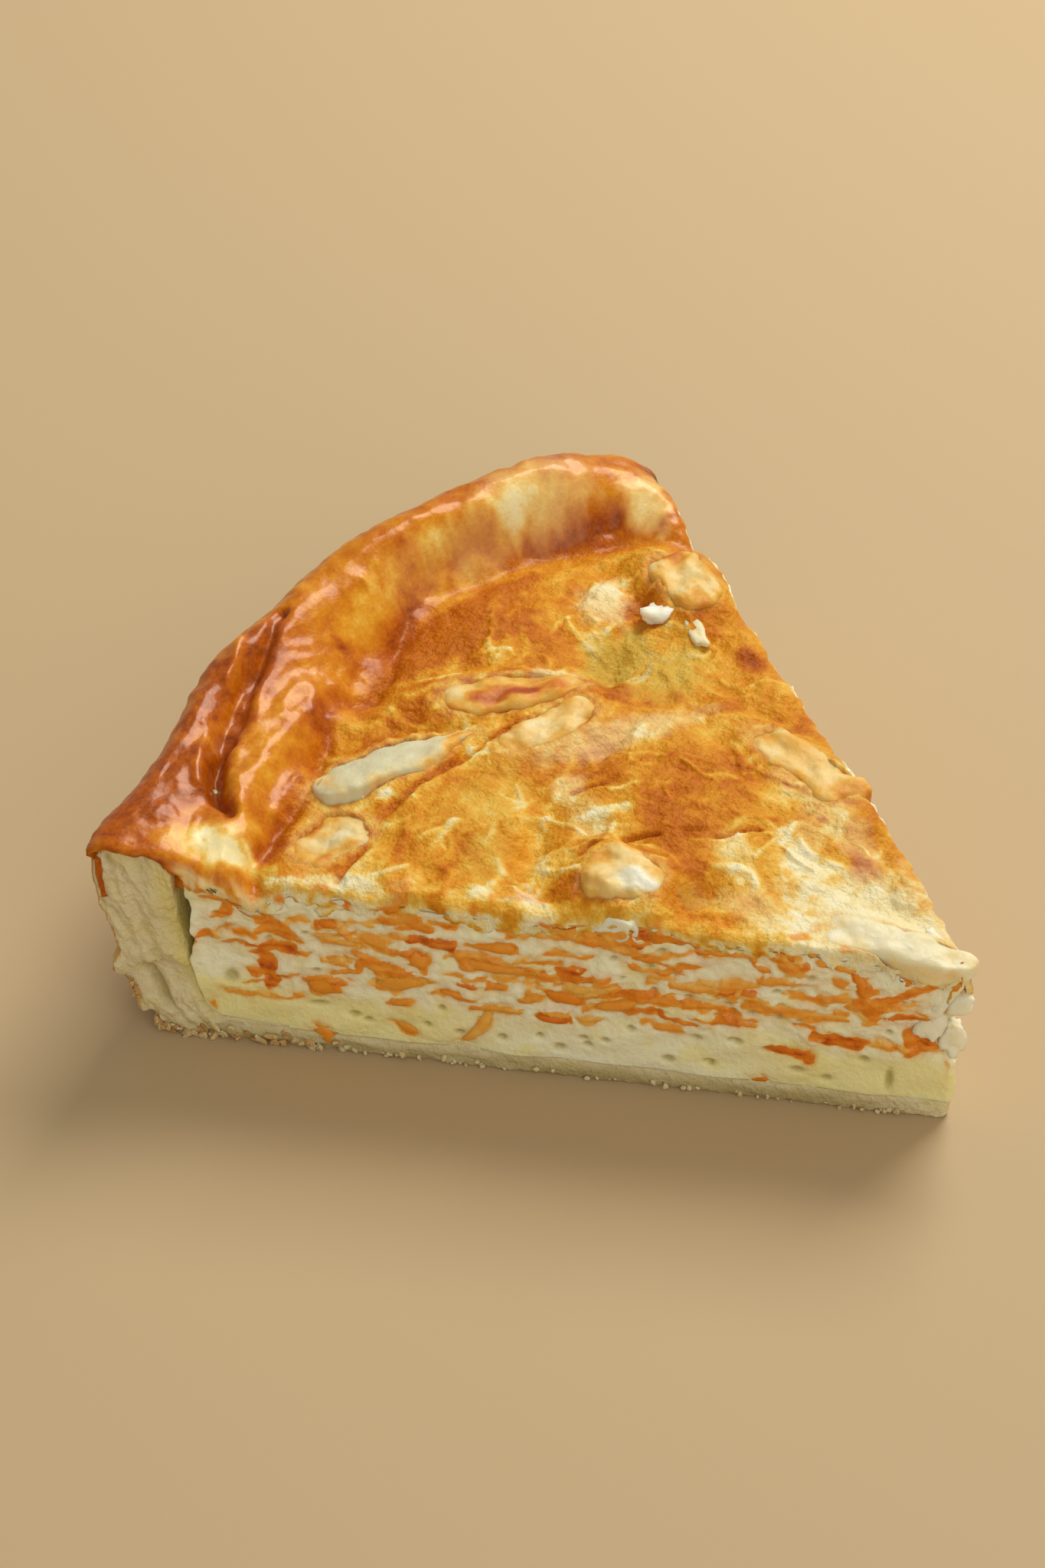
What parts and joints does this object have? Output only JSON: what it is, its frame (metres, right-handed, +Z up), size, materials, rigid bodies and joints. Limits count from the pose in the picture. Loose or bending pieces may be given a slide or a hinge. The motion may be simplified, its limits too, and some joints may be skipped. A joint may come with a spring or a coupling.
{
  "type": "quiche slice",
  "caption": "Wedge-shaped slice of a deep vegetable quiche with a thick pastry wall, a browned bulging rim, layered custard with carrot shreds and melted cheese slices on top.",
  "frame": {"origin": "centre of the bounding box on the flat underside of the pastry base", "axes": "+Z up, +Y from the tip of the slice to the middle of its rim, the cut shown in front in the picture on the -X side"},
  "size_m": [0.1079, 0.1061, 0.0346],
  "materials": {
    "baked_pastry": "matte, flaky, browned and glossy at the rim",
    "plain_custard": "soft satin with small pores",
    "carrot_custard": "soft satin cut faces, browned and slightly oily top",
    "melted_cheese": "soft satin, slightly translucent"
  },
  "bodies": {
    "root": {"pastry_crust": "baked_pastry", "custard_plain": "plain_custard", "custard_with_carrot": "carrot_custard", "cheese_slice_long": "melted_cheese", "cheese_slice_near_cut": "melted_cheese", "cheese_slice_scorched": "melted_cheese", "cheese_slice_ridge": "melted_cheese", "cheese_chunk_near_cut": "melted_cheese", "cheese_slice_far_rim": "melted_cheese", "cheese_slice_far_cut": "melted_cheese", "cheese_slice_tip": "melted_cheese"}
  },
  "joints": []
}
